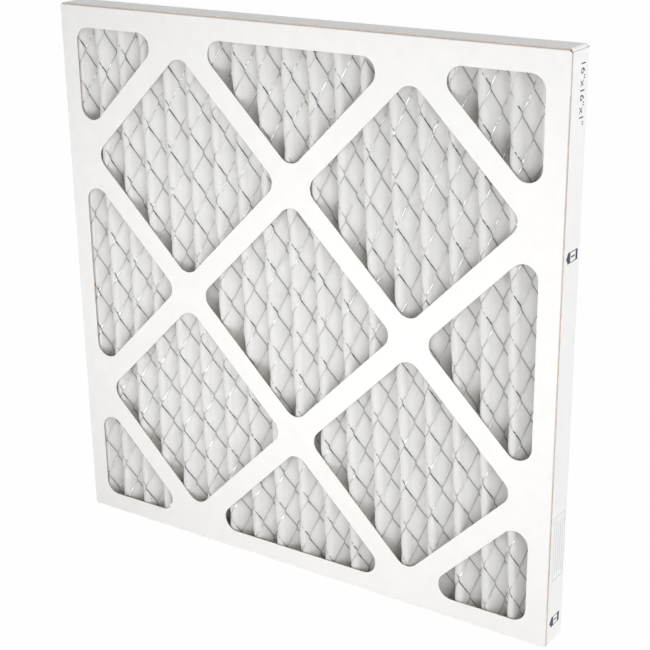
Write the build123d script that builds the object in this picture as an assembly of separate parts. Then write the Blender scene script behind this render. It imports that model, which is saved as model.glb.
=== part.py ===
from build123d import *

import math
import os

# ---------------------------------------------------------------------------
# Pleated panel air filter, 16 x 16 x 1 in nominal size, in millimetres.
#
# Frame: +Z is up, +X is to the right seen from the air-leaving face, and +Y
# runs through the panel towards the air-entering face.  The origin is the
# middle of the bottom edge face, so the panel stands on Z = 0.
# ---------------------------------------------------------------------------

# Overall size of the closed frame
PANEL_WIDTH = 393.7
PANEL_HEIGHT = 393.7
PANEL_DEPTH = 22.2

# Die-cut paperboard of the two folded trays
BOARD = 0.71
GLUE_LINE = 0.10          # glued gap between two layers of board
FOLD_RADIUS = 1.0         # outside radius of a creased fold
CORNER_BEND = 2.0         # outside radius where a flap turns the corner
TAB_LENGTH = 26.0         # glue tab beyond the corner bend
TAB_RELIEF = 0.6          # cut that frees the tab from the panel
FLAP_SHORTFALL = 3.2      # from the ends of the tucked flaps to the other face

# Window grid, the same die on both faces
BORDER = 15.0
STRIP_WIDTH = 15.8
WINDOW_CORNER = 10.0
DIE_SHIFT_X = -1.1        # register error of the die on the board
DIE_SHIFT_Z = -1.1

# Media pack
PLEAT_PITCH = 20.6        # wanted pitch, rounded to a whole count
MEDIA_THICKNESS = 1.6
PLEAT_TIP_RADIUS = 2.4    # at the middle of the media
TIP_CLEARANCE = 0.3       # glue between a pleat tip and the board
SEAL_THICKNESS = 0.8      # glue bead around the pack
SIDE_SEAL_DEPTH = 5.0

# Expanded metal laminated on the air-leaving side of the media
METAL_THICKNESS = 0.3

FRONT_Y = -PANEL_DEPTH / 2
REAR_Y = PANEL_DEPTH / 2
TUCKED_FLAP_DEPTH = PANEL_DEPTH - FLAP_SHORTFALL
MIDDLE_Z = PANEL_HEIGHT / 2

# Inside faces of the layers of board, measured from the outline inwards
SECOND_LAYER = BOARD + GLUE_LINE
INSIDE_LAYER = SECOND_LAYER + BOARD
CORNER_CUT = SECOND_LAYER + CORNER_BEND


def block(x_range, y_range, z_range):
    """A box given by its lowest and highest X, Y and Z."""
    size = [high - low for low, high in (x_range, y_range, z_range)]
    middle = [(high + low) / 2 for low, high in (x_range, y_range, z_range)]
    return Pos(*middle) * Box(*size)


def panel_plane(y):
    """Sketch plane parallel to the faces: local Y is up, extrusion runs to the front."""
    return Plane(origin=(0, y, MIDDLE_Z), x_dir=(1, 0, 0), z_dir=(0, -1, 0))


# ---------------------------------------------------------------------------
# Window grid
# ---------------------------------------------------------------------------

def strip(across, along, step, lean):
    """One diagonal strip of the grid, through (step * across, 0)."""
    angle = lean * math.degrees(math.atan2(along, across))
    length = 3 * (PANEL_WIDTH + PANEL_HEIGHT)
    return Pos(step * across, 0) * Rot(0, 0, angle) * Rectangle(length, STRIP_WIDTH)


def window_grid():
    """The thirteen windows between two crossed sets of diagonal strips."""
    open_width = PANEL_WIDTH - 2 * BORDER
    open_height = PANEL_HEIGHT - 2 * BORDER
    across, along = open_width / 4, open_height / 4
    windows = Rectangle(open_width, open_height)
    for lean in (-1, 1):
        for step in (-3, -1, 1, 3):
            windows -= strip(across, along, step, lean)
    rounded = [face.fillet_2d(WINDOW_CORNER, face.vertices()) for face in windows.faces()]
    return Pos(DIE_SHIFT_X, DIE_SHIFT_Z) * Sketch(children=rounded)


# ---------------------------------------------------------------------------
# Folded board
# ---------------------------------------------------------------------------

def bent_board(first_leg, radius, second_leg):
    """Section of a right-angled bend; its centre is the origin, its legs run back and down."""
    inside = radius - BOARD
    ring = Circle(radius) - Circle(inside)
    quarter = ring & (Pos(radius / 2, radius / 2) * Rectangle(radius, radius))
    first = Pos(-first_leg / 2, inside + BOARD / 2) * Rectangle(first_leg, BOARD)
    second = Pos(inside + BOARD / 2, -second_leg / 2) * Rectangle(BOARD, second_leg)
    return quarter + first + second


def folded_flap(outward, face, edge, width, depth):
    """A flap folded back from one edge of a panel that faces along Y."""
    outward, facing = Vector(*outward), Vector(0, face, 0)
    panel_face = face * PANEL_DEPTH / 2
    centre = Vector(0, panel_face, MIDDLE_Z) + outward * (edge - FOLD_RADIUS) - facing * FOLD_RADIUS
    plane = Plane(origin=centre, x_dir=outward, z_dir=outward.cross(facing))
    return extrude(plane * bent_board(BOARD, FOLD_RADIUS, depth - FOLD_RADIUS), width / 2, both=True)


def corner_tab(face, side):
    """End of an outermost top or bottom flap, bent round the corner under a side flap."""
    depth = PANEL_DEPTH - BOARD - TAB_RELIEF - SECOND_LAYER
    bend = Pos(PANEL_WIDTH / 2 - CORNER_CUT, PANEL_HEIGHT / 2 - CORNER_BEND)
    start = panel_plane(REAR_Y - BOARD - TAB_RELIEF)
    tab = extrude(start * bend * bent_board(BOARD, CORNER_BEND, TAB_LENGTH), depth)
    if side < 0:
        tab = mirror(tab, Plane.YZ)
    if face < 0:
        tab = mirror(mirror(tab, Plane.XZ), Plane.XY.offset(MIDDLE_Z))
    return tab


def folded_tray(face):
    """A panel with its windows and four flaps, of which the two towards +face are outermost."""
    outer_x, outer_z = PANEL_WIDTH / 2, PANEL_HEIGHT / 2
    inner_x, inner_z = outer_x - SECOND_LAYER, outer_z - SECOND_LAYER
    flap_x, flap_z = outer_x - CORNER_CUT, outer_z - CORNER_BEND
    tucked_z = flap_z - TAB_LENGTH - GLUE_LINE
    corners = (
        (-flap_x, outer_z), (-inner_x, flap_z), (-inner_x, CORNER_BEND - inner_z), (-flap_x, -inner_z),
        (flap_x, -inner_z), (outer_x, -flap_z), (outer_x, flap_z), (flap_x, outer_z),
    )
    outline = Polygon(*[(face * x, face * z) for x, z in corners], align=None)
    outline -= Pos(0, face * outer_z) * Rectangle(2 * flap_x, 2 * FOLD_RADIUS)
    outline -= Pos(face * outer_x, 0) * Rectangle(2 * FOLD_RADIUS, 2 * flap_z)
    outline -= Pos(0, -face * inner_z) * Rectangle(2 * flap_x, 2 * FOLD_RADIUS)
    outline -= Pos(-face * inner_x, 0) * Rectangle(2 * FOLD_RADIUS, 2 * tucked_z)
    thick = (face * PANEL_DEPTH / 2, face * (PANEL_DEPTH / 2 - BOARD))
    tray = extrude(panel_plane(max(thick)) * (outline - window_grid()), BOARD)
    tray += folded_flap((0, 0, face), face, outer_z, 2 * flap_x, PANEL_DEPTH)
    tray += folded_flap((face, 0, 0), face, outer_x, 2 * flap_z, PANEL_DEPTH)
    tray += folded_flap((0, 0, -face), face, inner_z, 2 * flap_x, TUCKED_FLAP_DEPTH)
    tray += folded_flap((-face, 0, 0), face, inner_x, 2 * tucked_z, TUCKED_FLAP_DEPTH)
    for side in (-1, 1):
        tray += corner_tab(face, side)
    return tray


# ---------------------------------------------------------------------------
# Pleats: one zigzag with round tips, which the media and the metal share
# ---------------------------------------------------------------------------

PACK_HALF_WIDTH = PANEL_WIDTH / 2 - INSIDE_LAYER - SEAL_THICKNESS
PACK_BOTTOM = INSIDE_LAYER + SEAL_THICKNESS
PACK_TOP = PANEL_HEIGHT - PACK_BOTTOM
PLEAT_COUNT = round(2 * PACK_HALF_WIDTH / PLEAT_PITCH)
PITCH = 2 * PACK_HALF_WIDTH / PLEAT_COUNT

MEDIA_FRONT_TIP = FRONT_Y + BOARD + TIP_CLEARANCE + METAL_THICKNESS
MEDIA_REAR_TIP = REAR_Y - BOARD - TIP_CLEARANCE


def flank_rise():
    """Height of the sharp zigzag whose rounded middle line fills the pack's depth."""
    half_pitch = PITCH / 2
    tip_to_tip = MEDIA_REAR_TIP - MEDIA_FRONT_TIP - MEDIA_THICKNESS
    spare = 2 * PLEAT_TIP_RADIUS
    a = 1 - (spare / half_pitch) ** 2
    b = 2 * (spare - tip_to_tip)
    c = (spare - tip_to_tip) ** 2 - spare ** 2
    return (-b + math.sqrt(b * b - 4 * a * c)) / (2 * a)


RISE = flank_rise()
FLANK_ANGLE = math.atan2(RISE, PITCH / 2)
PACK_MIDDLE_Y = (MEDIA_FRONT_TIP + MEDIA_REAR_TIP) / 2


def pleat_line(offset):
    """Middle line of the pleats, moved by offset towards the front side."""
    shift = -offset / math.cos(FLANK_ANGLE)
    front = PACK_MIDDLE_Y - RISE / 2 + shift
    rear = PACK_MIDDLE_Y + RISE / 2 + shift
    points, radii = [], []
    for step in range(-1, 2 * PLEAT_COUNT + 2):
        at_rear = step % 2 == 0
        points.append((-PACK_HALF_WIDTH + step * PITCH / 2, rear if at_rear else front))
        radii.append(PLEAT_TIP_RADIUS - offset if at_rear else PLEAT_TIP_RADIUS + offset)
    return FilletPolyline(*points, radius=radii[1:-1])


def pleated_sheet(rear_offset, front_offset):
    """A sheet of even thickness folded along the pleats, cut to the pack's size."""
    near, far = pleat_line(front_offset), pleat_line(rear_offset)
    ends = [Line(near @ 0, far @ 0), Line(near @ 1, far @ 1)]
    section = make_face(near.edges() + far.edges() + ends)
    section &= Rectangle(2 * PACK_HALF_WIDTH, 2 * PANEL_DEPTH)
    return Pos(0, 0, PACK_BOTTOM) * extrude(section, PACK_TOP - PACK_BOTTOM)


def pleated_media():
    return pleated_sheet(-MEDIA_THICKNESS / 2, MEDIA_THICKNESS / 2)


# ---------------------------------------------------------------------------
# Expanded metal: a skin on the front of the media, folded with it
#
# The skin has the metal's true outline, folds and thickness.  Its diamond
# openings, some 1200 of them, are left to the visual model.
# ---------------------------------------------------------------------------

METAL_OFFSET = (MEDIA_THICKNESS + METAL_THICKNESS) / 2


def expanded_metal():
    half = METAL_THICKNESS / 2
    return pleated_sheet(METAL_OFFSET - half, METAL_OFFSET + half)


# ---------------------------------------------------------------------------
# Glue beads that seal the pack to the flaps on its four sides
# ---------------------------------------------------------------------------

def end_seal(end):
    """Bead along the cut ends of the pleats, on the top or bottom flap."""
    pack_end = MIDDLE_Z + end * (PACK_TOP - PACK_BOTTOM) / 2
    flap = pack_end + end * SEAL_THICKNESS
    depth = (MEDIA_FRONT_TIP, MEDIA_REAR_TIP)
    return block((-PACK_HALF_WIDTH, PACK_HALF_WIDTH), depth, sorted((pack_end, flap)))


def side_seal(side):
    """Bead along the last pleat of the pack, on a side flap."""
    pack_side = side * PACK_HALF_WIDTH
    flap = pack_side + side * SEAL_THICKNESS
    depth = (MEDIA_REAR_TIP - SIDE_SEAL_DEPTH, MEDIA_REAR_TIP)
    return block(sorted((pack_side, flap)), depth, (PACK_BOTTOM, PACK_TOP))


def main():
    os.makedirs("parts", exist_ok=True)
    parts = {
        "front_tray": folded_tray(-1),
        "rear_tray": folded_tray(1),
        "pleated_media": pleated_media(),
        "expanded_metal": expanded_metal(),
        "top_seal_bead": end_seal(1),
        "bottom_seal_bead": end_seal(-1),
        "left_seal_bead": side_seal(-1),
        "right_seal_bead": side_seal(1),
    }
    for name, shape in parts.items():
        export_step(shape, f"parts/{name}.step")
    print("pleats", PLEAT_COUNT, "pitch", round(PITCH, 3), "flank angle", round(math.degrees(FLANK_ANGLE), 2))


main()
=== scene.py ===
# %% [markdown]
# # A pleated panel air filter, built around its CAD frame
#
# The panel is a thin square box of printed paperboard.  Two folded trays nest
# in each other, and between their window grids lies a pleated pack: felt-like
# media glued to a sheet of expanded metal.  The trays come from CAD and only
# get a finish here.  The media and the metal are plain stand-ins in CAD, so
# this lesson builds them again, with their quilting and their open diamonds.
#
# Everything is in metres: +X right, +Y through the panel to its rear, +Z up.

# %% Load the fixed frame
import math

import bpy
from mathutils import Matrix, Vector


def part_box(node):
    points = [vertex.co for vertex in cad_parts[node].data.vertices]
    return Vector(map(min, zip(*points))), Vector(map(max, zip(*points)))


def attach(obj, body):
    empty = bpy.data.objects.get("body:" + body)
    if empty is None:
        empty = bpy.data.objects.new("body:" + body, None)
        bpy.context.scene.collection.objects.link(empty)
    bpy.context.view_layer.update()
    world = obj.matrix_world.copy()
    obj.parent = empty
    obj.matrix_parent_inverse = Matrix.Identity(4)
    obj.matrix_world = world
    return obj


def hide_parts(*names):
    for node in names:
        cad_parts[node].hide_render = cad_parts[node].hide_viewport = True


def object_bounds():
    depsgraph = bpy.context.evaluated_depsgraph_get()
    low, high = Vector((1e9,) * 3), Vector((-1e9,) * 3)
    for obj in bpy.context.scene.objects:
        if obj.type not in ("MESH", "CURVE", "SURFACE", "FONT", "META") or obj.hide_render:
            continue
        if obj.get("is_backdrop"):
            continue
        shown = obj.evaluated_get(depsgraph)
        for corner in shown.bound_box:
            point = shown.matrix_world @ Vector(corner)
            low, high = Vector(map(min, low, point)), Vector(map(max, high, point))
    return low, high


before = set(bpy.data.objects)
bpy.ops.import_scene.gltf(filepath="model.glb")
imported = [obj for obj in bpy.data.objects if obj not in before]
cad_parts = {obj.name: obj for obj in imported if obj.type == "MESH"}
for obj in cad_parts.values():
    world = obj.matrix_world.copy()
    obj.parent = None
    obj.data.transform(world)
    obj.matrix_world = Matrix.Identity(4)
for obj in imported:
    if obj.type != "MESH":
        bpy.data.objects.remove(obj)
cad_low, cad_high = [list(corner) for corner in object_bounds()]
mm = 0.001
print("nodes", sorted(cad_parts))
print("size in mm", [round((b - a) / mm, 2) for a, b in zip(cad_low, cad_high)])

# %% [markdown]
# ## Two small tools
#
# Colours are easiest to pick as sRGB hex values, but Blender's shaders want
# linear light, so one function converts them.  Node trees are long to write by
# hand, so one more function adds a node, sets its options and fills or links
# its inputs in a single call.

# %% Colour and node helpers
def colour(hex_code):
    """Linear RGBA of an sRGB hex value such as "F4F2EC"."""
    channels = [int(hex_code[i:i + 2], 16) / 255 for i in (0, 2, 4)]
    linear = [c / 12.92 if c <= 0.04045 else ((c + 0.055) / 1.055) ** 2.4 for c in channels]
    return (*linear, 1.0)


def add(tree, kind, inputs=None, **options):
    """Adds one node, sets its options, fills or links its inputs, and returns its outputs."""
    node = tree.nodes.new(kind)
    for name, value in options.items():
        setattr(node, name, value)
    for key, value in (inputs or {}).items():
        if isinstance(value, bpy.types.NodeSocket):
            tree.links.new(value, node.inputs[key])
        else:
            node.inputs[key].default_value = value
    return node.outputs


MATH, VECTOR = "ShaderNodeMath", "ShaderNodeVectorMath"
print("white board is", [round(c, 3) for c in colour("F9F9F7")])

# %% [markdown]
# ## Camera
#
# A product picture of a flat panel is taken from one side and a little above,
# with a longish lens, so that the face, one edge and the top all show.  The
# place and the turn of the camera are plain numbers, with no depth of field.

# %% Camera
camera_data = bpy.data.cameras.new("camera")
camera_data.sensor_width = 36
camera_data.lens = 81.372
camera = bpy.data.objects.new("camera", camera_data)
camera.location = (0.542254, -0.782221, 0.536809)
camera.rotation_euler = [math.radians(turn) for turn in (69.72675, 0.70172, 33.6004)]
bpy.context.scene.collection.objects.link(camera)
bpy.context.scene.camera = camera
print("camera", [round(v, 3) for v in camera.location], "lens", round(camera_data.lens, 2))

# %% [markdown]
# ## Studio
#
# White board on a white ground needs gentle light.  A lit backdrop stands
# behind the panel and shines through the thin media, a soft lamp in front
# lights the face, and two more on the right light the flanks of the pleats and
# the near edge.  Nothing stands above, so that the top edge stays darker.  The
# ground looks white to the camera, but keeps a trace of the object's shadow.

# %% World
scene = bpy.context.scene
scene.view_settings.view_transform = "Standard"
world = bpy.data.worlds.new("studio")
world.use_nodes = True
scene.world = world
tree = world.node_tree
tree.nodes.clear()
path = add(tree, "ShaderNodeLightPath")
seen = add(tree, MATH, {0: path["Is Camera Ray"], 1: path["Is Glossy Ray"]}, operation="MAXIMUM")[0]
seen = add(tree, MATH, {0: seen, 1: path["Is Transmission Ray"]}, operation="MAXIMUM")[0]
# the room: bright behind and on the right, dim in front, dark above and on the left
outward = add(tree, "ShaderNodeTexCoord")["Generated"]
strength = 0.0
for way, level in (((0.0, 1.0, 0.0), 1.3), ((1.0, 0.0, 0.0), 1.0), ((0.0, -1.0, 0.0), 0.12)):
    toward = add(tree, VECTOR, {0: outward, 1: way}, operation="DOT_PRODUCT")["Value"]
    toward = add(tree, MATH, {0: toward, 1: 0.0}, operation="MAXIMUM")[0]
    strength = add(tree, MATH, {0: toward, 1: level, 2: strength}, operation="MULTIPLY_ADD")[0]
ambient = add(tree, "ShaderNodeBackground", {"Color": colour("FDFDFF"), "Strength": strength})[0]
backdrop = add(tree, "ShaderNodeBackground", {"Color": (1, 1, 1, 1), "Strength": 1.0})[0]
mixed = add(tree, "ShaderNodeMixShader", {0: seen, 1: ambient, 2: backdrop})[0]
add(tree, "ShaderNodeOutputWorld", {"Surface": mixed})
print("world ready")


# %% Lamps
def lamp(name, place, target, size, power, tint):
    """A square area lamp at place that faces target, unseen by the camera."""
    data = bpy.data.lights.new(name, "AREA")
    data.shape = "SQUARE"
    data.size = size
    data.energy = power
    data.color = colour(tint)[:3]
    obj = bpy.data.objects.new(name, data)
    obj.location = place
    obj.rotation_euler = (Vector(target) - Vector(place)).to_track_quat("-Z", "Y").to_euler()
    obj.visible_camera = False
    scene.collection.objects.link(obj)
    return obj


lamp("front_softbox", (0, -0.6, 0.17), (0, 0, 0.15), 0.3, 1.85, "FFFDFB")
lamp("right_softbox", (0.64, -0.64, 0.42), (0, 0, 0.2), 0.4, 1.15, "FFFFFF")
lamp("edge_softbox", (0.75, -0.05, 0.62), (0.19, 0, 0.36), 0.3, 0.5, "FFFFFF")

# %% Floor
floor_mesh = bpy.data.meshes.new("floor")
reach = 6.0
FLOOR_GLOW = 0.98  # the rest keeps the shadow
corners = [(-reach, -reach, 0), (reach, -reach, 0), (reach, reach, 0), (-reach, reach, 0)]
floor_mesh.from_pydata(corners, [], [(0, 1, 2, 3)])
floor = bpy.data.objects.new("floor", floor_mesh)
scene.collection.objects.link(floor)
floor_paint = bpy.data.materials.new("white_studio_floor")
floor_paint.use_nodes = True
tree = floor_paint.node_tree
tree.nodes.clear()
path = add(tree, "ShaderNodeLightPath")
seen = add(tree, MATH, {0: path["Is Camera Ray"], 1: path["Is Glossy Ray"]}, operation="MAXIMUM")[0]
seen = add(tree, MATH, {0: seen, 1: path["Is Transmission Ray"]}, operation="MAXIMUM")[0]
paint = add(tree, "ShaderNodeBsdfDiffuse", {"Color": colour("F2F2F2")})[0]
glow = add(tree, "ShaderNodeEmission", {"Color": (1, 1, 1, 1), "Strength": 1.0})[0]
share = add(tree, MATH, {0: seen, 1: FLOOR_GLOW}, operation="MULTIPLY")[0]
mixed = add(tree, "ShaderNodeMixShader", {0: share, 1: paint, 2: glow})[0]
add(tree, "ShaderNodeOutputMaterial", {"Surface": mixed})
floor_mesh.materials.append(floor_paint)
floor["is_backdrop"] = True
print("floor", reach * 2, "m wide")

# %% [markdown]
# ## Sizes of the pleated pack
#
# These repeat the CAD model's own rules: the pack fills the trays less a glue
# bead, its folds have round tips, and the pitch is what fits a whole number of
# pleats.  One value matters most later: the length of sheet in one pleat.
# Anything drawn on the flat sheet, before folding, is placed with it.

# %% Pack sizes
BOARD = 0.71 * mm
PACK_LOW, PACK_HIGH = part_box("pleated_media")
HALF_WIDTH = PACK_HIGH.x
PLEATS = 19
PITCH = 2 * HALF_WIDTH / PLEATS
TIP_RADIUS = 2.4 * mm
FELT = 1.6 * mm
front_tip, rear_tip = PACK_LOW.y, PACK_HIGH.y


def zigzag_height():
    """Height of the sharp zigzag whose rounded middle line fills the pack's depth."""
    half, spare = PITCH / 2, 2 * TIP_RADIUS
    fall = rear_tip - front_tip - FELT
    a = 1 - (spare / half) ** 2
    b = 2 * (spare - fall)
    c = (spare - fall) ** 2 - spare ** 2
    return (-b + math.sqrt(b * b - 4 * a * c)) / (2 * a)


HEIGHT = zigzag_height()
LEAN = math.atan2(HEIGHT, PITCH / 2)
arc = 2 * LEAN * TIP_RADIUS
straight = math.hypot(HEIGHT, PITCH / 2) - 2 * TIP_RADIUS * math.tan(LEAN)
PLEAT_SHEET = 2 * (arc + straight)
SHEET = PLEATS * PLEAT_SHEET
print("pitch", round(PITCH / mm, 3), "sheet in a pleat", round(PLEAT_SHEET / mm, 2), "mm")

# %% [markdown]
# ## The fold line, as a node group
#
# A pleated sheet is one rule: a zigzag with rounded corners.  The group makes
# a row of points, lifts every other one, rounds the corners and can offset the
# line to either side of the media's middle.  Both faces of the felt and the
# metal on its front then share the same folds and never cross.

# %% Group: fold line
def new_tree(name, sockets):
    """An empty Geometry Nodes group with its named inputs and one or more outputs."""
    tree = bpy.data.node_groups.new(name, "GeometryNodeTree")
    for socket, (way, kind) in sockets.items():
        tree.interface.new_socket(socket, in_out=way, socket_type="NodeSocket" + kind)
    return tree


fold_line = new_tree("fold_line", {
    "Line": ("OUTPUT", "Geometry"),
    "Pitch": ("INPUT", "Float"),
    "Pleats": ("INPUT", "Int"),
    "Height": ("INPUT", "Float"),
    "Tip radius": ("INPUT", "Float"),
    "Offset": ("INPUT", "Float"),
})
tree = fold_line
given = add(tree, "NodeGroupInput")
half_pitch = add(tree, MATH, {0: given["Pitch"], 1: 0.5}, operation="MULTIPLY")[0]
count = add(tree, MATH, {0: given["Pleats"], 1: 2.0, 2: 3.0}, operation="MULTIPLY_ADD")[0]
step = add(tree, "ShaderNodeCombineXYZ", {0: half_pitch})[0]
first = add(tree, MATH, {0: given["Pleats"], 1: -0.5, 2: -0.5}, operation="MULTIPLY_ADD")[0]
start = add(tree, MATH, {0: first, 1: given["Pitch"]}, operation="MULTIPLY")[0]
begin = add(tree, "ShaderNodeCombineXYZ", {0: start})[0]
row = add(tree, "GeometryNodeMeshLine", {"Count": count, "Start Location": begin, "Offset": step})[0]
index = add(tree, "GeometryNodeInputIndex")[0]
odd = add(tree, MATH, {0: index, 1: 2.0}, operation="MODULO")[0]
# odd points are rear tips: +1 there, -1 at the crests of the front
side = add(tree, MATH, {0: odd, 1: 2.0, 2: -1.0}, operation="MULTIPLY_ADD")[0]
half_height = add(tree, MATH, {0: given["Height"], 1: 0.5}, operation="MULTIPLY")[0]
lift = add(tree, MATH, {0: side, 1: half_height}, operation="MULTIPLY")[0]
slope = add(tree, MATH, {0: given["Height"], 1: half_pitch}, operation="ARCTAN2")[0]
cosine = add(tree, MATH, {0: slope}, operation="COSINE")[0]
shift = add(tree, MATH, {0: given["Offset"], 1: cosine}, operation="DIVIDE")[0]
lift = add(tree, MATH, {0: lift, 1: shift}, operation="SUBTRACT")[0]
move = add(tree, "ShaderNodeCombineXYZ", {1: lift})[0]
row = add(tree, "GeometryNodeSetPosition", {"Geometry": row, "Offset": move})[0]
line = add(tree, "GeometryNodeMeshToCurve", {"Mesh": row})[0]
# the offset widens the bend on one side and tightens it on the other
bend = add(tree, MATH, {0: side, 1: given["Offset"]}, operation="MULTIPLY")[0]
bend = add(tree, MATH, {0: given["Tip radius"], 1: bend}, operation="SUBTRACT")[0]
line = add(tree, "GeometryNodeFilletCurve", {"Curve": line, "Radius": bend, "Count": 8}, mode="POLY")[0]
add(tree, "NodeGroupOutput", {"Line": line})
print("group", tree.name, len(tree.nodes), "nodes")

# %% [markdown]
# ## Laying a flat drawing on the folds
#
# Each point of a flat drawing has a distance along the sheet and a height.
# The second group reads the fold line at that distance and puts the point
# there.  Real pleats are never quite true, so the group also lets the pack
# lean, more on one side than on the other, pushes the front crests a little
# sideways and makes each of them wander and vary in depth.  Near the side
# walls, where the sheet is glued, all but the change in depth fades out.

# %% Where a place is on its pleat
PAST_PACK = 0.2 * mm      # how far a crest may stand past the CAD pack
WANDER_LENGTH = 70 * mm   # height over which a crest drifts to and fro
FRONT_LIMIT = -PACK_HIGH.y - PAST_PACK
REAR_LIMIT = PACK_HIGH.y + PAST_PACK


def fold_wave(tree, along):
    """1 on a front crest and -1 at a rear tip, at a distance along the sheet."""
    turn = add(tree, MATH, {0: along, 1: 2 * math.pi / PLEAT_SHEET}, operation="MULTIPLY")[0]
    return add(tree, MATH, {0: turn}, operation="COSINE")[0]


def nearest_crest(tree, along):
    """The number of the pleat whose crest is nearest."""
    pleat = add(tree, MATH, {0: along, 1: PLEAT_SHEET}, operation="DIVIDE")[0]
    return add(tree, MATH, {0: pleat}, operation="ROUND")[0]


print("crests may stand from", round(FRONT_LIMIT / mm, 2), "to", round(REAR_LIMIT / mm, 2), "mm")

# %% Group: lay on folds

lay = new_tree("lay_on_folds", {
    "Position": ("OUTPUT", "Vector"),
    "Facing": ("OUTPUT", "Vector"),
    "Line": ("INPUT", "Geometry"),
    "Along": ("INPUT", "Float"),
    "Up": ("INPUT", "Float"),
    "Start": ("INPUT", "Float"),
    "Puff": ("INPUT", "Float"),
    "Front shift": ("INPUT", "Float"),
    "Lean": ("INPUT", "Float"),
    "Lean gain": ("INPUT", "Float"),
    "Spread": ("INPUT", "Float"),
    "Wander": ("INPUT", "Float"),
    "Unevenness": ("INPUT", "Float"),
})
tree = lay
given = add(tree, "NodeGroupInput")
distance = add(tree, MATH, {0: given["Along"], 1: given["Start"]}, operation="ADD")[0]
sample = add(tree, "GeometryNodeSampleCurve", {"Curves": given["Line"], "Length": distance}, mode="LENGTH")
base = sample["Position"]
across = add(tree, VECTOR, {0: sample["Tangent"], 1: (0.0, 0.0, 1.0)}, operation="CROSS_PRODUCT")[0]
puffed = add(tree, VECTOR, {0: across, "Scale": given["Puff"]}, operation="SCALE")[0]
base = add(tree, VECTOR, {0: base, 1: puffed}, operation="ADD")[0]
part = add(tree, "ShaderNodeSeparateXYZ", {0: base})

# 1 on a front crest, 0 at a rear tip
wave = fold_wave(tree, given["Along"])
crest = add(tree, MATH, {0: wave, 1: 0.5, 2: 0.5}, operation="MULTIPLY_ADD")[0]
pleat = nearest_crest(tree, given["Along"])

# 1 in the middle, 0 at the side walls
share = add(tree, MATH, {0: part[0], 1: HALF_WIDTH}, operation="DIVIDE")[0]
fade = add(tree, MATH, {0: share}, operation="ABSOLUTE")[0]
fade = add(tree, MATH, {0: fade, 1: 4.0}, operation="POWER")[0]
fade = add(tree, MATH, {0: 1.0, 1: fade}, operation="SUBTRACT", use_clamp=True)[0]

height = add(tree, MATH, {0: given["Up"], 1: -(PACK_LOW.z + PACK_HIGH.z) / 2}, operation="ADD")[0]
lean_here = add(tree, MATH, {0: share, 1: given["Lean gain"], 2: given["Lean"]}, operation="MULTIPLY_ADD")[0]
drift = add(tree, MATH, {0: lean_here, 1: height}, operation="MULTIPLY")[0]
drift = add(tree, MATH, {0: share, 1: given["Spread"], 2: drift}, operation="MULTIPLY_ADD")[0]

# each crest wanders on its own: noise over height, with the pleat's number as a seed
tall = add(tree, MATH, {0: given["Up"], 1: 1 / WANDER_LENGTH}, operation="MULTIPLY")[0]
spot = add(tree, "ShaderNodeCombineXYZ", {0: tall, 1: pleat})[0]
noise = add(tree, "ShaderNodeTexNoise", {"Vector": spot, "Scale": 1.0, "Detail": 1.0}, noise_dimensions="3D")
hue = add(tree, "ShaderNodeSeparateXYZ", {0: noise["Color"]})
wander = add(tree, MATH, {0: hue[0], 1: 0.5}, operation="SUBTRACT")[0]
wander = add(tree, MATH, {
    0: wander, 1: given["Wander"], 2: given["Front shift"]}, operation="MULTIPLY_ADD")[0]
drift = add(tree, MATH, {0: wander, 1: crest, 2: drift}, operation="MULTIPLY_ADD")[0]
moved = add(tree, MATH, {0: drift, 1: fade, 2: part[0]}, operation="MULTIPLY_ADD")[0]

depth = add(tree, MATH, {0: hue[1], 1: given["Unevenness"]}, operation="MULTIPLY")[0]
depth = add(tree, MATH, {0: depth, 1: crest, 2: part[1]}, operation="MULTIPLY_ADD")[0]
depth = add(tree, MATH, {0: depth, 1: FRONT_LIMIT}, operation="MAXIMUM")[0]
depth = add(tree, MATH, {0: depth, 1: REAR_LIMIT}, operation="MINIMUM")[0]
place = add(tree, "ShaderNodeCombineXYZ", {0: moved, 1: depth, 2: given["Up"]})[0]
add(tree, "NodeGroupOutput", {"Position": place, "Facing": across})
print("group", tree.name, len(tree.nodes), "nodes")

# %% [markdown]
# ## The diamond pattern, as a node group
#
# Expanded metal is slit and pulled open, so its joints stand in columns, and
# every second column is half a diamond higher.  On the flat sheet that is a
# skewed grid.  This group turns a place on the sheet into two running counts
# that are whole numbers on the two sets of strands.  The felt bulges where
# both are far from whole, and lies down under the strands.

# %% Group: diamonds
COLUMN = 8.618 * mm      # from one column of joints to the next, on the flat sheet
LONG_WAY = 30.3 * mm     # from joint to joint up a column
FIRST_COLUMN = 6.09 * mm
FIRST_JOINT = 25.57 * mm
SAG = 0.0368             # the mesh lies a little bowed, tilted and skewed: 1/m, ratio, 1/m, ratio
TILT = 0.0091
SKEW = -0.0289
STRETCH = 0.00142
SKEW_ABOUT = 0.197       # the height that the skew leaves in place
BULGE = 0.85 * mm


def warp(tree, along, up):
    """How far the mesh is off the true grid at a place on the sheet: (along, up)."""
    square = add(tree, MATH, {0: along, 1: along}, operation="MULTIPLY")[0]
    rise = add(tree, MATH, {0: square, 1: SAG}, operation="MULTIPLY")[0]
    rise = add(tree, MATH, {0: along, 1: TILT, 2: rise}, operation="MULTIPLY_ADD")[0]
    over = add(tree, MATH, {0: up, 1: -SKEW_ABOUT}, operation="ADD")[0]
    skewed = add(tree, MATH, {0: along, 1: SKEW, 2: STRETCH}, operation="MULTIPLY_ADD")[0]
    side = add(tree, MATH, {0: skewed, 1: over}, operation="MULTIPLY")[0]
    return side, rise


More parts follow.
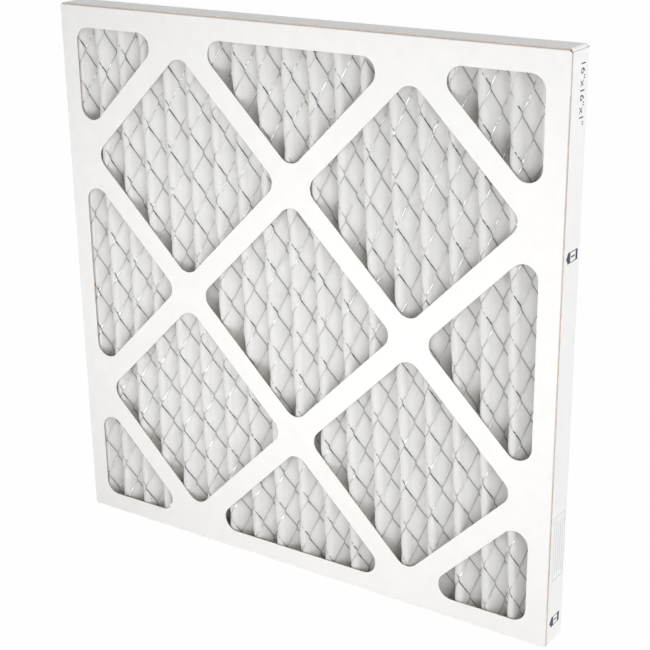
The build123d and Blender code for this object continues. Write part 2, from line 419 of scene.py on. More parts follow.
diamonds = new_tree("diamonds", {
    "Bulge": ("OUTPUT", "Float"),
    "Along": ("INPUT", "Float"),
    "Up": ("INPUT", "Float"),
    "Column": ("INPUT", "Float"),
    "Long way": ("INPUT", "Float"),
})
tree = diamonds
given = add(tree, "NodeGroupInput")
side, rise = warp(tree, given["Along"], given["Up"])
true_along = add(tree, MATH, {0: given["Along"], 1: side}, operation="SUBTRACT")[0]
true_along = add(tree, MATH, {0: true_along, 1: FIRST_COLUMN}, operation="SUBTRACT")[0]
true_up = add(tree, MATH, {0: given["Up"], 1: rise}, operation="SUBTRACT")[0]
true_up = add(tree, MATH, {0: true_up, 1: FIRST_JOINT}, operation="SUBTRACT")[0]
half_along = add(tree, MATH, {0: true_along, 1: given["Column"]}, operation="DIVIDE")[0]
half_along = add(tree, MATH, {0: half_along, 1: 0.5}, operation="MULTIPLY")[0]
half_up = add(tree, MATH, {0: true_up, 1: given["Long way"]}, operation="DIVIDE")[0]
bulge = 1.0
for way in ("ADD", "SUBTRACT"):
    counted = add(tree, MATH, {0: half_along, 1: half_up}, operation=way)[0]
    counted = add(tree, MATH, {0: counted, 1: math.pi}, operation="MULTIPLY")[0]
    hump = add(tree, MATH, {0: counted}, operation="SINE")[0]
    hump = add(tree, MATH, {0: hump}, operation="ABSOLUTE")[0]
    bulge = add(tree, MATH, {0: hump, 1: bulge}, operation="MULTIPLY")[0]
bulge = add(tree, MATH, {0: bulge, 1: 0.7}, operation="POWER")[0]
add(tree, "NodeGroupOutput", {"Bulge": bulge})
print("a diamond is", round(2 * COLUMN / mm, 1), "by", LONG_WAY / mm, "mm")

# %% [markdown]
# ## The media
#
# The filter media is a needled polyester and cotton felt about 1.6 mm thick.
# Geometry Nodes start from a flat slab whose grid is the unfolded sheet, store
# the sheet's own coordinates as a UV map, and lay both faces on the folds.
# Starting from a closed slab keeps the felt watertight, with its thickness
# and its cut ends, and the material can use the UV map as its weave.

# %% Media sizes
PLEAT_POINTS = 22        # points of the grid in one pleat
HEIGHT_POINTS = 113      # points of the grid from bottom to top
START = math.hypot(HEIGHT, PITCH / 2) - TIP_RADIUS * math.tan(LEAN) + arc / 2
FOLDS = {"Pitch": PITCH, "Pleats": PLEATS, "Height": HEIGHT, "Tip radius": TIP_RADIUS}
SETTLE = {
    "Front shift": -1.6 * mm, "Lean": -0.0235, "Lean gain": -0.034, "Spread": 2.6 * mm,
    "Wander": 2.4 * mm, "Unevenness": 1.3 * mm,
}


def use_group(tree, group, inputs):
    """Adds a node group to a tree and returns its outputs."""
    return add(tree, "GeometryNodeGroup", inputs, node_tree=group)


def pack_tree(name, sizes):
    """A modifier tree with the pack's sizes as named inputs: (tree, its inputs)."""
    sockets = {"Mesh": ("OUTPUT", "Geometry")}
    sockets |= {size: ("INPUT", "Int" if size == "Pleats" else "Float") for size in sizes}
    sockets["Finish"] = ("INPUT", "Material")
    tree = new_tree(name, sockets)
    return tree, add(tree, "NodeGroupInput")


def pick(given, names):
    """Those inputs of a tree that a group asks for, by name."""
    return {name: given[name] for name in names}


media_sizes = {**FOLDS, **SETTLE, "Start": 0.0, "Thickness": FELT, "Bulge": BULGE,
               "Column": COLUMN, "Long way": LONG_WAY}
print("media inputs", sorted(media_sizes))

# %% Media tree: the flat slab
tree, given = pack_tree("pleated_media", media_sizes)
slab_size = add(tree, "ShaderNodeCombineXYZ", {0: SHEET, 1: PACK_HIGH.z - PACK_LOW.z, 2: 1.0})[0]
slab = add(tree, "GeometryNodeMeshCube", {
    "Size": slab_size, "Vertices X": PLEATS * PLEAT_POINTS + 1, "Vertices Y": HEIGHT_POINTS,
    "Vertices Z": 2})[0]
flat = add(tree, "ShaderNodeSeparateXYZ", {0: add(tree, "GeometryNodeInputPosition")[0]})
up = add(tree, MATH, {0: flat[1], 1: (PACK_HIGH.z + PACK_LOW.z) / 2}, operation="ADD")[0]
sheet_uv = add(tree, "ShaderNodeCombineXYZ", {0: flat[0], 1: up})[0]
slab = add(tree, "GeometryNodeStoreNamedAttribute", {
    "Geometry": slab, "Name": "sheet", "Value": sheet_uv}, data_type="FLOAT2", domain="CORNER")[0]
bulge = use_group(tree, diamonds, {
    "Along": flat[0], "Up": up, **pick(given, ("Column", "Long way"))})["Bulge"]
print("slab", round(SHEET / mm, 1), "mm long, unfolded")

# %% Media tree: both faces on the folds
puff = add(tree, MATH, {0: bulge, 1: given["Bulge"]}, operation="MULTIPLY")[0]
half = add(tree, MATH, {0: given["Thickness"], 1: 0.5}, operation="MULTIPLY")[0]
places = []
for face in (1, -1):
    offset = add(tree, MATH, {0: half, 1: float(face)}, operation="MULTIPLY")[0]
    line = use_group(tree, fold_line, {"Offset": offset, **pick(given, FOLDS)})[0]
    swell = add(tree, MATH, {0: puff, 1: 1.0 if face > 0 else 0.4}, operation="MULTIPLY")[0]
    places.append(use_group(tree, lay, {
        "Line": line, "Along": flat[0], "Up": up, "Start": given["Start"], "Puff": swell,
        **pick(given, SETTLE)})["Position"])
in_front = add(tree, "FunctionNodeCompare", {
    0: flat[2], 1: 0.0}, data_type="FLOAT", operation="GREATER_THAN")[0]
place = add(tree, "GeometryNodeSwitch", {"Switch": in_front, "False": places[1], "True": places[0]},
            input_type="VECTOR")[0]
slab = add(tree, "GeometryNodeSetPosition", {"Geometry": slab, "Position": place})[0]
slab = add(tree, "GeometryNodeSetShadeSmooth", {"Geometry": slab})[0]
slab = add(tree, "GeometryNodeRealizeInstances", {"Geometry": slab})[0]
slab = add(tree, "GeometryNodeSetMaterial", {"Geometry": slab, "Material": given["Finish"]})[0]
add(tree, "NodeGroupOutput", {"Mesh": slab})
media_tree = tree
print("tree", tree.name, len(tree.nodes), "nodes")

# %% [markdown]
# ## Felt as a material
#
# Needled polyester is matt and lets light in: it scatters among the fibres and
# comes out a few millimetres away, which softens the shade in the valleys.  So
# the surface is rough, with full subsurface scattering.  The fibres are tens of
# micrometres thick, too fine to see, so the mat is drawn as soft clumps about a
# millimetre long and as slow patches where the felt is thinner.

# %% Felt
def new_material(name):
    """A material with an empty tree: (material, tree)."""
    material = bpy.data.materials.new(name)
    material.use_nodes = True
    material.node_tree.nodes.clear()
    return material, material.node_tree


felt, tree = new_material("needled_polyester_felt")
sheet = add(tree, "ShaderNodeUVMap", uv_map="sheet")[0]
fibres = add(tree, "ShaderNodeTexNoise", {
    "Vector": sheet, "Scale": 1 / (1.1 * mm), "Detail": 4.0, "Roughness": 0.7})[0]
patches = add(tree, "ShaderNodeTexNoise", {"Vector": sheet, "Scale": 1 / (14 * mm), "Detail": 3.0})[0]
shade = add(tree, "ShaderNodeMapRange", {0: patches, 1: 0.3, 2: 0.7, 3: 0.0, 4: 1.0})[0]
tint = add(tree, "ShaderNodeMix", {0: shade, 6: colour("ECECEA"), 7: colour("F1F1F0")}, data_type="RGBA")[2]
# painted shade: each front crest is painted a little darker, to tone down the light that the crests catch
wave = fold_wave(tree, add(tree, "ShaderNodeSeparateXYZ", {0: sheet})[0])
fold = add(tree, "ShaderNodeMapRange", {0: wave, 1: 0.5, 2: 0.95})[0]
tint = add(tree, "ShaderNodeMix", {0: fold, 6: tint, 7: colour("E1E1E0")}, data_type="RGBA")[2]
relief = add(tree, "ShaderNodeBump", {"Strength": 0.25, "Distance": 0.3 * mm, "Height": fibres})[0]
surface = add(tree, "ShaderNodeBsdfPrincipled", {
    "Base Color": tint, "Roughness": 0.92, "Specular IOR Level": 0.2, "Subsurface Weight": 1.0,
    "Subsurface Radius": (1.0, 1.0, 1.0), "Subsurface Scale": 2.5 * mm, "Normal": relief})[0]
add(tree, "ShaderNodeOutputMaterial", {"Surface": surface})
print("felt ready")


# %% Media piece
def grow(name, tree, sizes, finish):
    """Runs a tree on a new object, and leaves the result as a plain mesh."""
    piece = bpy.data.objects.new(name, bpy.data.meshes.new(name))
    scene.collection.objects.link(piece)
    modifier = piece.modifiers.new(name, "NODES")
    modifier.node_group = tree
    for item in tree.interface.items_tree:
        if item.in_out == "INPUT":
            modifier[item.identifier] = finish if item.name == "Finish" else sizes[item.name]
    graph = bpy.context.evaluated_depsgraph_get()
    mesh = bpy.data.meshes.new_from_object(piece.evaluated_get(graph), depsgraph=graph)
    piece.modifiers.clear()
    piece.data = mesh
    mesh.name = name
    triangles = sum(len(face.vertices) - 2 for face in mesh.polygons)
    low = [round(min(v.co[i] for v in mesh.vertices) / mm, 2) for i in range(3)]
    high = [round(max(v.co[i] for v in mesh.vertices) / mm, 2) for i in range(3)]
    print(name, triangles, "triangles", low, high)
    return piece


media_sizes["Start"] = START + SHEET / 2
media = grow("media", media_tree, media_sizes, felt)
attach(media, "root")
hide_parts("pleated_media")

# %% [markdown]
# ## The expanded metal
#
# The mesh that backs the media is thin steel, slit and stretched into
# diamonds: strands 0.65 mm wide, twisted by the slitting, that meet in short,
# upright joints.  One joint with its two strands to the right is the unit that
# repeats.  Geometry Nodes copy it to every joint of the flat sheet, trim what
# hangs over the edge, lay the lines on the folds and only then give them
# thickness.

# %% Mesh sizes
STEEL = 0.3 * mm
STRAND_WIDTH = 0.65 * mm
JOINT_LENGTH = 2.2 * mm
COLUMNS = 99
ROWS = 16
ROWS_BELOW = 2           # rows that begin under the sheet, and are trimmed
FELT_GAP = 0.1 * mm      # between the felt and the back of a strand
TRIM = 0.5 * mm          # the strands end this far inside the sheet

mesh_sizes = {
    **FOLDS, **SETTLE, "Start": 0.0, "Lift": (FELT + STEEL) / 2 + FELT_GAP, "Steel": STEEL,
    "Sink": 0.25 * mm, "Twist": 0.45, "Strand width": STRAND_WIDTH, "Joint length": JOINT_LENGTH,
    "Column": COLUMN, "Long way": LONG_WAY,
}
print("mesh inputs", sorted(mesh_sizes))

# %% Mesh tree: the joints
tree, given = pack_tree("expanded_mesh", mesh_sizes)
reach_x = add(tree, MATH, {0: given["Column"], 1: COLUMNS - 1.0}, operation="MULTIPLY")[0]
reach_y = add(tree, MATH, {0: given["Long way"], 1: ROWS - 1.0}, operation="MULTIPLY")[0]
joints = add(tree, "GeometryNodeMeshGrid", {
    "Size X": reach_x, "Size Y": reach_y, "Vertices X": COLUMNS, "Vertices Y": ROWS})[0]
flat = add(tree, "ShaderNodeSeparateXYZ", {0: add(tree, "GeometryNodeInputPosition")[0]})
number = add(tree, MATH, {0: flat[0], 1: given["Column"]}, operation="DIVIDE")[0]
number = add(tree, MATH, {0: number}, operation="ROUND")[0]
odd = add(tree, MATH, {0: number, 1: 2.0}, operation="FLOORED_MODULO")[0]
half_way = add(tree, MATH, {0: given["Long way"], 1: 0.5}, operation="MULTIPLY")[0]
lowest = FIRST_JOINT + ((ROWS - 1) / 2 - ROWS_BELOW) * LONG_WAY
raised = add(tree, MATH, {0: odd, 1: half_way, 2: lowest}, operation="MULTIPLY_ADD")[0]
shift = add(tree, "ShaderNodeCombineXYZ", {0: FIRST_COLUMN, 1: raised})[0]
joints = add(tree, "GeometryNodeSetPosition", {"Geometry": joints, "Offset": shift})[0]

# %% Mesh tree: one joint and the two strands that leave it to the right
half_joint = add(tree, MATH, {0: given["Joint length"], 1: 0.5}, operation="MULTIPLY")[0]
under = add(tree, MATH, {0: half_joint, 1: -1.0}, operation="MULTIPLY")[0]
reach_up = add(tree, MATH, {0: half_way, 1: half_joint}, operation="SUBTRACT")[0]
reach_down = add(tree, MATH, {0: reach_up, 1: -1.0}, operation="MULTIPLY")[0]
unit_lines = (  # start, end, points, width, and how far the slitting turned it: up 1, down -1
    ((0.0, under), (0.0, half_joint), 2, 1.5, 0.0),
    ((0.0, half_joint), (given["Column"], reach_up), 9, 1.0, 1.0),
    ((0.0, under), (given["Column"], reach_down), 9, 1.0, -1.0),
)
unit = add(tree, "GeometryNodeJoinGeometry")
for start, end, points, width, turned in unit_lines:
    start = add(tree, "ShaderNodeCombineXYZ", {0: start[0], 1: start[1]})[0]
    end = add(tree, "ShaderNodeCombineXYZ", {0: end[0], 1: end[1]})[0]
    line = add(tree, "GeometryNodeCurvePrimitiveLine", {"Start": start, "End": end})[0]
    line = add(tree, "GeometryNodeResampleCurve", {"Curve": line, "Count": points})[0]
    line = add(tree, "GeometryNodeSetCurveRadius", {"Curve": line, "Radius": width})[0]
    line = add(tree, "GeometryNodeStoreNamedAttribute", {
        "Geometry": line, "Name": "turned", "Value": turned}, data_type="FLOAT", domain="POINT")[0]
    tree.links.new(line, unit[0].node.inputs[0])
strands = add(tree, "GeometryNodeInstanceOnPoints", {"Points": joints, "Instance": unit[0]})[0]
strands = add(tree, "GeometryNodeRealizeInstances", {"Geometry": strands})[0]
flat = add(tree, "ShaderNodeSeparateXYZ", {0: add(tree, "GeometryNodeInputPosition")[0]})
side, rise = warp(tree, flat[0], flat[1])
shift = add(tree, "ShaderNodeCombineXYZ", {0: side, 1: rise})[0]
strands = add(tree, "GeometryNodeSetPosition", {"Geometry": strands, "Offset": shift})[0]
print("a unit has", len(unit_lines), "lines")

# %% Mesh tree: trim to the sheet and lay on the folds
flat = add(tree, "ShaderNodeSeparateXYZ", {0: add(tree, "GeometryNodeInputPosition")[0]})
outside = None
for value, low, high in ((flat[0], -SHEET / 2, SHEET / 2), (flat[1], PACK_LOW.z, PACK_HIGH.z)):
    off = add(tree, MATH, {0: value, 1: (low + high) / 2}, operation="SUBTRACT")[0]
    off = add(tree, MATH, {0: off}, operation="ABSOLUTE")[0]
    off = add(tree, MATH, {0: off, 1: (high - low) / 2 - TRIM}, operation="GREATER_THAN")[0]
    outside = off if outside is None else add(tree, MATH, {0: off, 1: outside}, operation="MAXIMUM")[0]
strands = add(tree, "GeometryNodeDeleteGeometry", {
    "Geometry": strands, "Selection": outside}, domain="POINT")[0]
line = use_group(tree, fold_line, {"Offset": given["Lift"], **pick(given, FOLDS)})[0]
# the bend of a crest presses the strands into the felt
wave = fold_wave(tree, flat[0])
sunk = add(tree, "ShaderNodeMapRange", {0: wave, 1: 0.6, 2: 1.0, 3: 0.0, 4: given["Sink"]})[0]
sunk = add(tree, MATH, {0: sunk, 1: -1.0}, operation="MULTIPLY")[0]
laid = use_group(tree, lay, {
    "Line": line, "Along": flat[0], "Up": flat[1], "Start": given["Start"], "Puff": sunk,
    **pick(given, SETTLE)})
# millimetres along the sheet from the nearest crest, for the finish
pleat = nearest_crest(tree, flat[0])
past = add(tree, MATH, {0: pleat, 1: -PLEAT_SHEET, 2: flat[0]}, operation="MULTIPLY_ADD")[0]
past = add(tree, MATH, {0: past, 1: mm}, operation="DIVIDE")[0]
strands = add(tree, "GeometryNodeStoreNamedAttribute", {
    "Geometry": strands, "Name": "past_crest", "Value": past}, data_type="FLOAT", domain="POINT")[0]
print("strands laid", round(mesh_sizes["Lift"] / mm, 2), "mm in front of the middle of the felt")

# %% Mesh tree: turn and thicken the strands
facing = add(tree, "GeometryNodeCaptureAttribute", {"Geometry": strands})
capture = facing[0].node
capture.domain = "POINT"
capture.capture_items.new("VECTOR", "Facing")
turned = add(tree, "GeometryNodeInputNamedAttribute", {"Name": "turned"}, data_type="FLOAT")[0]
turned = add(tree, MATH, {0: turned, 1: given["Twist"]}, operation="MULTIPLY")[0]
# a strand that is turned up also turns towards the crest, and the other towards the valley
onward = add(tree, VECTOR, {0: (0.0, 0.0, 1.0), 1: laid["Facing"]}, operation="CROSS_PRODUCT")[0]
sideways = add(tree, VECTOR, {0: (0.0, 0.0, 1.0), 1: onward}, operation="SUBTRACT")[0]
sideways = add(tree, VECTOR, {0: sideways, "Scale": turned}, operation="SCALE")[0]
looking = add(tree, VECTOR, {0: laid["Facing"], 1: sideways}, operation="ADD")[0]
looking = add(tree, VECTOR, {0: looking}, operation="NORMALIZE")[0]
tree.links.new(looking, capture.inputs["Facing"])
strands = capture.outputs["Geometry"]
strands = add(tree, "GeometryNodeSetPosition", {"Geometry": strands, "Position": laid["Position"]})[0]
strands = add(tree, "GeometryNodeSetCurveNormal", {"Curve": strands, "Normal": capture.outputs["Facing"]},
              mode="FREE")[0]
section = add(tree, "GeometryNodeCurvePrimitiveQuadrilateral", {
    "Width": given["Steel"], "Height": given["Strand width"]}, mode="RECTANGLE")[0]
wires = add(tree, "GeometryNodeCurveToMesh", {
    "Curve": strands, "Profile Curve": section, "Fill Caps": True})[0]
wires = add(tree, "GeometryNodeSetShadeSmooth", {"Geometry": wires, "Shade Smooth": False})[0]
wires = add(tree, "GeometryNodeRealizeInstances", {"Geometry": wires})[0]
wires = add(tree, "GeometryNodeSetMaterial", {"Geometry": wires, "Material": given["Finish"]})[0]
add(tree, "NodeGroupOutput", {"Mesh": wires})
mesh_tree = tree
print("tree", tree.name, len(tree.nodes), "nodes")

# %% [markdown]
# ## Galvanised steel
#
# Expanded filter mesh is galvanised sheet.  Zinc is a grey, satin metal, and
# the slitting leaves one set of strands turned up and the other turned down.
# The felt's fibres half cover most strands and make both sets pale.  Where the
# metal is bare, only in patches on the few millimetres just past a crest, the
# strands turned down are painted dark and those turned up pale, as painted
# shade and painted reflection of their surroundings.  High on the panel,
# strands that are turned up are painted white here and there, as painted
# highlights.

# %% Steel
steel, tree = new_material("galvanised_steel")
turned = add(tree, "ShaderNodeAttribute", attribute_name="turned")["Fac"]
turned = add(tree, "ShaderNodeMapRange", {0: turned, 1: -1.0, 2: 1.0})[0]
past = add(tree, "ShaderNodeAttribute", attribute_name="past_crest")["Fac"]
place = add(tree, "ShaderNodeTexCoord")["Object"]
spangle = add(tree, "ShaderNodeTexNoise", {"Vector": place, "Scale": 1 / (2.5 * mm), "Detail": 2.0})[0]
patch = add(tree, "ShaderNodeTexNoise", {"Vector": place, "Scale": 1 / (40 * mm), "Detail": 2.0})[0]
blotch = add(tree, "ShaderNodeTexNoise", {"Vector": place, "Scale": 1 / (9 * mm), "Detail": 1.0})[0]
# painted highlight: patches high on the panel where the strands that are turned up are painted white, as if
# they caught the light
high = add(tree, "ShaderNodeSeparateXYZ", {0: place})[2]
high = add(tree, "ShaderNodeMapRange", {0: high, 1: 0.2, 2: 0.36})[0]
painted_glint = add(tree, "ShaderNodeMapRange", {0: patch, 1: 0.42, 2: 0.5})[0]
painted_glint = add(tree, MATH, {0: painted_glint, 1: high}, operation="MULTIPLY")[0]
fringe = add(tree, "ShaderNodeMapRange", {0: spangle, 1: 0.4, 2: 0.55})[0]
painted_glint = add(tree, MATH, {0: painted_glint, 1: fringe}, operation="MULTIPLY")[0]
# painted highlight: the turned-up strands in those patches are painted white
raised = add(tree, "ShaderNodeMix", {0: painted_glint, 6: colour("B2B0AE"), 7: colour("FFFFFF")}, data_type="RGBA")[2]
furred = add(tree, "ShaderNodeMix", {0: turned, 6: colour("B0AEAC"), 7: raised}, data_type="RGBA")[2]
# painted shade and painted reflection: bare strands turned down are painted dark, and those turned up pale
bare_painted_reflection = add(tree, "ShaderNodeMix", {0: turned, 6: colour("4C4C55"), 7: colour("C8C8CC")}, data_type="RGBA")[2]
# bare, with the painted shade above, for a few millimetres past the crest, more in some patches than in
# others
rise = add(tree, "ShaderNodeMapRange", {0: past, 1: 0.4, 2: 1.4})[0]
fall = add(tree, "ShaderNodeMapRange", {0: past, 1: 9.5, 2: 6.0})[0]
bare_painted_shade_zone = add(tree, MATH, {0: rise, 1: fall}, operation="MULTIPLY")[0]
chance = add(tree, MATH, {0: patch, 1: 1.2, 2: blotch}, operation="MULTIPLY_ADD")[0]
chance = add(tree, "ShaderNodeMapRange", {0: chance, 1: 1.04, 2: 1.14})[0]
bare_painted_shade_zone = add(tree, MATH, {0: bare_painted_shade_zone, 1: chance}, operation="MULTIPLY")[0]
tint = add(tree, "ShaderNodeMix", {0: bare_painted_shade_zone, 6: furred, 7: bare_painted_reflection}, data_type="RGBA")[2]
metallic = add(tree, MATH, {0: bare_painted_shade_zone, 1: 0.7, 2: 0.3}, operation="MULTIPLY_ADD")[0]
metallic = add(tree, MATH, {0: metallic, 1: painted_glint}, operation="MAXIMUM")[0]
relief = add(tree, "ShaderNodeBump", {"Strength": 0.5, "Distance": 0.4 * mm, "Height": spangle})[0]
surface = add(tree, "ShaderNodeBsdfPrincipled", {
    "Base Color": tint, "Metallic": metallic, "Roughness": 0.36, "Normal": relief})[0]
add(tree, "ShaderNodeOutputMaterial", {"Surface": surface})

mesh_sizes["Start"] = START + SHEET / 2
wires = grow("expanded_mesh", mesh_tree, mesh_sizes, steel)
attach(wires, "root")
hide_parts("expanded_metal")

# %% [markdown]
# ## Paperboard
#
# The trays are clay-coated kraft board: the printed face is smooth and white,
# and the back and every cut edge show the brown core.  Both trays keep their
# CAD shape, so the finish has to find out by itself where it is.  A point is
# on the coated side if it lies within half a board of its tray's outline.  Cut
# edges are found by which way they look: across the board at a window, or
# along it at the end of a flap.

# %% Where a tray is cut
CORNER_BEND = 2.0 * mm
FLAP_END_X = cad_high[0] - CORNER_BEND - BOARD - 0.1 * mm
FLAP_END_Z = cad_high[2] / 2 - CORNER_BEND


def all_of(tree, *tests):
    """1 where every test is 1."""
    result = tests[0]
    for test in tests[1:]:
        result = add(tree, MATH, {0: result, 1: test}, operation="MULTIPLY")[0]
    return result


def any_of(tree, *tests):
    """1 where at least one test is 1, and the largest of plain numbers."""
    result = tests[0]
    for test in tests[1:]:
        result = add(tree, MATH, {0: result, 1: test}, operation="MAXIMUM")[0]
    return result


def board_regions(tree, low, high, face):
    """Which parts of a tray are inside (1) and cut (1); its panel looks along face * Y."""
    at = add(tree, "ShaderNodeSeparateXYZ", {0: add(tree, "ShaderNodeTexCoord")["Object"]})
    looks = add(tree, "ShaderNodeSeparateXYZ", {0: add(tree, "ShaderNodeNewGeometry")["True Normal"]})
    steep = [add(tree, MATH, {0: looks[axis]}, operation="ABSOLUTE")[0] for axis in range(3)]
    outline = []
    for axis in (0, 2):
        off = add(tree, MATH, {0: at[axis], 1: (low[axis] + high[axis]) / 2}, operation="SUBTRACT")[0]
        off = add(tree, MATH, {0: off}, operation="ABSOLUTE")[0]
        outline.append(add(tree, MATH, {0: off, 1: (high[axis] - low[axis]) / 2}, operation="SUBTRACT")[0])
    face_y = high[1] if face > 0 else -low[1]
    depth = add(tree, MATH, {0: at[1], 1: float(face), 2: -face_y}, operation="MULTIPLY_ADD")[0]

    # the round corner where the outermost end flap turns under the side flap
    off_x = add(tree, MATH, {0: at[0]}, operation="ABSOLUTE")[0]
    off_z = add(tree, MATH, {0: at[2], 1: cad_high[2] / 2}, operation="SUBTRACT")[0]
    off_z = add(tree, MATH, {0: off_z}, operation="ABSOLUTE")[0]
    past_x = add(tree, MATH, {0: off_x, 1: FLAP_END_X}, operation="SUBTRACT")[0]
    past_z = add(tree, MATH, {0: off_z, 1: FLAP_END_Z}, operation="SUBTRACT")[0]
    reach = add(tree, "ShaderNodeCombineXYZ", {0: past_x, 1: past_z})[0]
    reach = add(tree, VECTOR, {0: reach}, operation="LENGTH")["Value"]
    bend = all_of(
        tree,
        add(tree, MATH, {0: past_x, 1: 0.0}, operation="GREATER_THAN")[0],
        add(tree, MATH, {0: past_z, 1: 0.0}, operation="GREATER_THAN")[0],
        add(tree, MATH, {0: reach, 1: CORNER_BEND - BOARD / 2}, operation="GREATER_THAN")[0])
    shell = add(tree, MATH, {0: any_of(tree, *outline, depth), 1: -BOARD / 2}, operation="GREATER_THAN")[0]
    inside = add(tree, MATH, {0: 1.0, 1: any_of(tree, shell, bend)}, operation="SUBTRACT")[0]

    panel_cut = all_of(
        tree,
        add(tree, MATH, {0: steep[1], 1: 0.2}, operation="LESS_THAN")[0],
        add(tree, MATH, {0: depth, 1: -BOARD * 1.05}, operation="GREATER_THAN")[0])
    away = add(tree, MATH, {0: looks[1], 1: float(face)}, operation="MULTIPLY")[0]
    flap_end = all_of(
        tree,
        add(tree, MATH, {0: away, 1: -0.5}, operation="LESS_THAN")[0],
        add(tree, MATH, {0: depth, 1: -3 * mm}, operation="LESS_THAN")[0])
    side_ends = [
        all_of(
            tree,
            add(tree, MATH, {0: steep[axis], 1: 0.9}, operation="GREATER_THAN")[0],
            add(tree, MATH, {0: past, 1: 0.0, 2: 0.1 * mm}, operation="COMPARE")[0])
        for axis, past in ((0, past_x), (2, past_z))]
    return inside, any_of(tree, panel_cut, flap_end, *side_ends)


# %% Board
def board(name, low, high, face):
    """Clay-coated kraft board for one tray."""
    material, tree = new_material(name)
    inside, cut_edge = board_regions(tree, low, high, face)
    spot = add(tree, "ShaderNodeTexCoord")["Object"]
    # coated face: faint mottle of the pulp under the clay
    pulp = add(tree, "ShaderNodeTexNoise", {"Vector": spot, "Scale": 1 / (9 * mm), "Detail": 4.0})[0]
    pulp = add(tree, "ShaderNodeMapRange", {0: pulp, 1: 0.3, 2: 0.7})[0]
    coated = add(tree, "ShaderNodeMix", {
        0: pulp, 6: colour("F6F6F4"), 7: colour("F9F9F7")}, data_type="RGBA")[2]
    # kraft: long brown fibres, about half a millimetre by four
    grain = (1 / (0.6 * mm), 1 / (0.6 * mm), 1 / (4 * mm))
    stretch = add(tree, VECTOR, {0: spot, 1: grain}, operation="MULTIPLY")[0]
    fibre = add(tree, "ShaderNodeTexNoise", {"Vector": stretch, "Scale": 1.0, "Detail": 3.0})[0]
    fibre = add(tree, "ShaderNodeMapRange", {0: fibre, 1: 0.3, 2: 0.7})[0]
    kraft = add(tree, "ShaderNodeMix", {
        0: fibre, 6: colour("A58C70"), 7: colour("BDA88B")}, data_type="RGBA")[2]
    cut = add(tree, "ShaderNodeMix", {
        0: fibre, 6: colour("C8B3A4"), 7: colour("DFD1C7")}, data_type="RGBA")[2]
    tint = add(tree, "ShaderNodeMix", {0: inside, 6: coated, 7: kraft}, data_type="RGBA")[2]
    tint = add(tree, "ShaderNodeMix", {0: cut_edge, 6: tint, 7: cut}, data_type="RGBA")[2]
    rough = add(tree, "ShaderNodeMapRange", {0: any_of(tree, inside, cut_edge), 3: 0.5, 4: 0.9})[0]
    wave = add(tree, "ShaderNodeTexNoise", {"Vector": spot, "Scale": 1 / (40 * mm), "Detail": 2.0})[0]
    relief = add(tree, "ShaderNodeBump", {"Strength": 0.15, "Distance": 0.5 * mm, "Height": wave})[0]
    surface = add(tree, "ShaderNodeBsdfPrincipled", {
        "Base Color": tint, "Roughness": rough, "Specular IOR Level": 0.4, "Normal": relief})[0]
    add(tree, "ShaderNodeOutputMaterial", {"Surface": surface})
    return material


def finish_node(node, material):
    """Gives one CAD node a finish."""
    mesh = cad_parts[node].data
    mesh.materials.clear()
    mesh.materials.append(material)
    print(node, "->", material.name)


for node, face in (("front_tray", -1), ("rear_tray", 1)):
    finish_node(node, board("clay_coated_board_" + node, *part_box(node), face))

# %% [markdown]
# ## Hot-melt beads
#
# The pack is sealed to the flaps with hot-melt glue, which sets to a milky,
# waxy plastic that lets a little light in.

# %% Hot melt
glue, tree = new_material("hot_melt_glue")
spot = add(tree, "ShaderNodeTexCoord")["Object"]
ripple = add(tree, "ShaderNodeTexNoise", {"Vector": spot, "Scale": 1 / (5 * mm), "Detail": 2.0})[0]
tint = add(tree, "ShaderNodeMix", {0: ripple, 6: colour("D9D2C0"), 7: colour("E8E3D6")}, data_type="RGBA")[2]
relief = add(tree, "ShaderNodeBump", {"Strength": 0.4, "Distance": 0.4 * mm, "Height": ripple})[0]
surface = add(tree, "ShaderNodeBsdfPrincipled", {
    "Base Color": tint, "Roughness": 0.45, "Subsurface Weight": 0.2, "Subsurface Scale": 1 * mm,
    "Normal": relief})[0]
add(tree, "ShaderNodeOutputMaterial", {"Surface": surface})
for side in ("top", "bottom", "left", "right"):
    finish_node(f"{side}_seal_bead", glue)

# %% [markdown]
# ## Print on the side
#
# The right side carries the nominal size, two arrows for the direction of the
# air and a small ruled panel, printed in dark blue by flexography.  The ink is
# a film far thinner than the board, so each mark is a flat shape that stands
# a fiftieth of a millimetre proud.  Shapes are drawn upright in millimetres as
# (depth from the front face, height) and then put on the side.

# %% Marks
INK = 0.02 * mm


def outline_text(body, depth, top, bottom):
    """Faces of a line of numerals that reads downwards, fitted to a depth and a height range."""
    curve = bpy.data.curves.new("numerals", "FONT")
    curve.body = body
    text = bpy.data.objects.new("numerals", curve)
    scene.collection.objects.link(text)
    graph = bpy.context.evaluated_depsgraph_get()
    flat = bpy.data.meshes.new_from_object(text.evaluated_get(graph), depsgraph=graph)
    bpy.data.objects.remove(text)
    xs, ys = [v.co.x for v in flat.vertices], [v.co.y for v in flat.vertices]
    along, tall = max(xs) - min(xs), max(ys) - min(ys)
    points = [(depth[0] + (v.co.y - min(ys)) / tall * (depth[1] - depth[0]),
               top - (v.co.x - min(xs)) / along * (top - bottom)) for v in flat.vertices]
    faces = [tuple(face.vertices) for face in flat.polygons]
    bpy.data.meshes.remove(flat)
    return points, faces


def bar(depth, height):
    """Faces of an upright rectangle."""
    (d0, d1), (h0, h1) = depth, height
    return [(d0, h0), (d1, h0), (d1, h1), (d0, h1)], [(0, 1, 2, 3)]


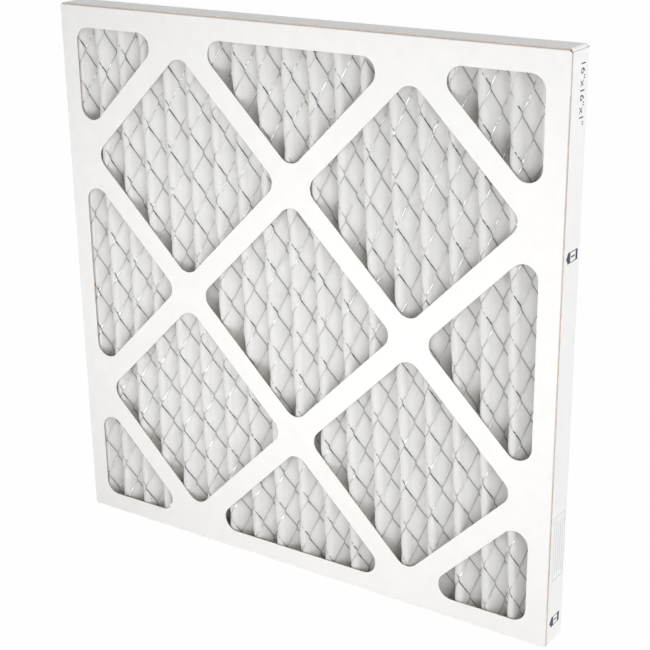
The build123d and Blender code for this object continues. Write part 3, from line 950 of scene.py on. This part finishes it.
def arrow(tip, end, height):
    """Shapes of a block arrow that points to the front, with a pale panel on its shaft."""
    neck, half, rim = tip + 3.2, 3.5, 0.6
    head = ([(tip, height), (neck, height - 4.4), (neck, height + 4.4)], [(0, 1, 2)])
    return [
        head,
        bar((neck, neck + 2.6), (height - half, height + half)),
        bar((neck + 2.6, end - 2.8), (height - half, height - half + rim)),
        bar((neck + 2.6, end - 2.8), (height + half - rim, height + half)),
        bar((end - 2.8, end), (height - half, height + half)),
        bar((neck + 3.6, end - 3.8), (height - 0.5, height + 0.5)),
    ]


def frame_box(depth, height, line):
    """Shapes of a thin rectangular outline."""
    (d0, d1), (h0, h1) = depth, height
    return [bar((d0, d0 + line), height), bar((d1 - line, d1), height),
            bar((d0 + line, d1 - line), (h0, h0 + line)), bar((d0 + line, d1 - line), (h1 - line, h1))]


def side_marks(name, shapes, finish):
    """One thin piece of print on the right side from flat shapes in millimetres."""
    side_x, front_y = cad_high[0], cad_low[1]
    vertices, faces = [], []
    for points, polygons in shapes:
        for x in (side_x + INK, side_x - INK):
            vertices += [(x, front_y + depth * mm, height * mm) for depth, height in points]
        base, count = len(vertices) - 2 * len(points), len(points)
        edges = {}
        for polygon in polygons:
            faces.append([base + i for i in polygon])
            faces.append([base + count + i for i in reversed(polygon)])
            for i, j in zip(polygon, polygon[1:] + polygon[:1]):
                edges[(i, j)] = edges.get((j, i), 0) + 1
        for i, j in edges:
            if (j, i) not in edges:
                faces.append([base + j, base + i, base + count + i, base + count + j])
    mesh = bpy.data.meshes.new(name)
    mesh.from_pydata(vertices, [], faces)
    mesh.materials.append(finish)
    piece = bpy.data.objects.new(name, mesh)
    scene.collection.objects.link(piece)
    up = sum(face.area for face in mesh.polygons if face.normal.x > 0.5)
    print(name, len(mesh.polygons), "faces,", round(up / mm ** 2, 1), "mm2 of ink")
    return piece


# %% Ink
def ink(name, full, thin):
    """Flexographic ink, denser in some spots than in others."""
    material, tree = new_material(name)
    spot = add(tree, "ShaderNodeTexCoord")["Object"]
    cover = add(tree, "ShaderNodeTexNoise", {"Vector": spot, "Scale": 1 / (1.5 * mm), "Detail": 3.0})[0]
    cover = add(tree, "ShaderNodeMapRange", {0: cover, 1: 0.35, 2: 0.7})[0]
    tint = add(tree, "ShaderNodeMix", {0: cover, 6: colour(full), 7: colour(thin)}, data_type="RGBA")[2]
    surface = add(tree, "ShaderNodeBsdfPrincipled", {"Base Color": tint, "Roughness": 0.55})[0]
    add(tree, "ShaderNodeOutputMaterial", {"Surface": surface})
    return material


marks = [outline_text('16"x16"x1"', (11.6, 17.6), 383.9, 346.9)]
marks += arrow(2.8, 18.9, 267.6) + arrow(3.2, 17.6, 16.7)
rules = frame_box((4.5, 19.5), (48, 94), 0.25)
rules += [bar((depth, depth + 0.35), (52, 90)) for depth in (7.5, 10.5, 13.5, 16.5)]
for name, shapes, finish in (("side_print", marks, ink("navy_ink", "26243C", "4A4862")),
                             ("side_rules", rules, ink("grey_ink", "9C9CA2", "B9B9BD"))):
    piece = side_marks(name, shapes, finish)
    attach(piece, "root")

# %% [markdown]
# ## The size after finishing
#
# The looks must not make the part bigger, so the box of the finished model is
# printed, to set against the box of the CAD model printed at the start.

bpy.context.view_layer.update()
low, high = [list(corner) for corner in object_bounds()]
print("visual size in mm", [round((b - a) / mm, 2) for a, b in zip(low, high)])
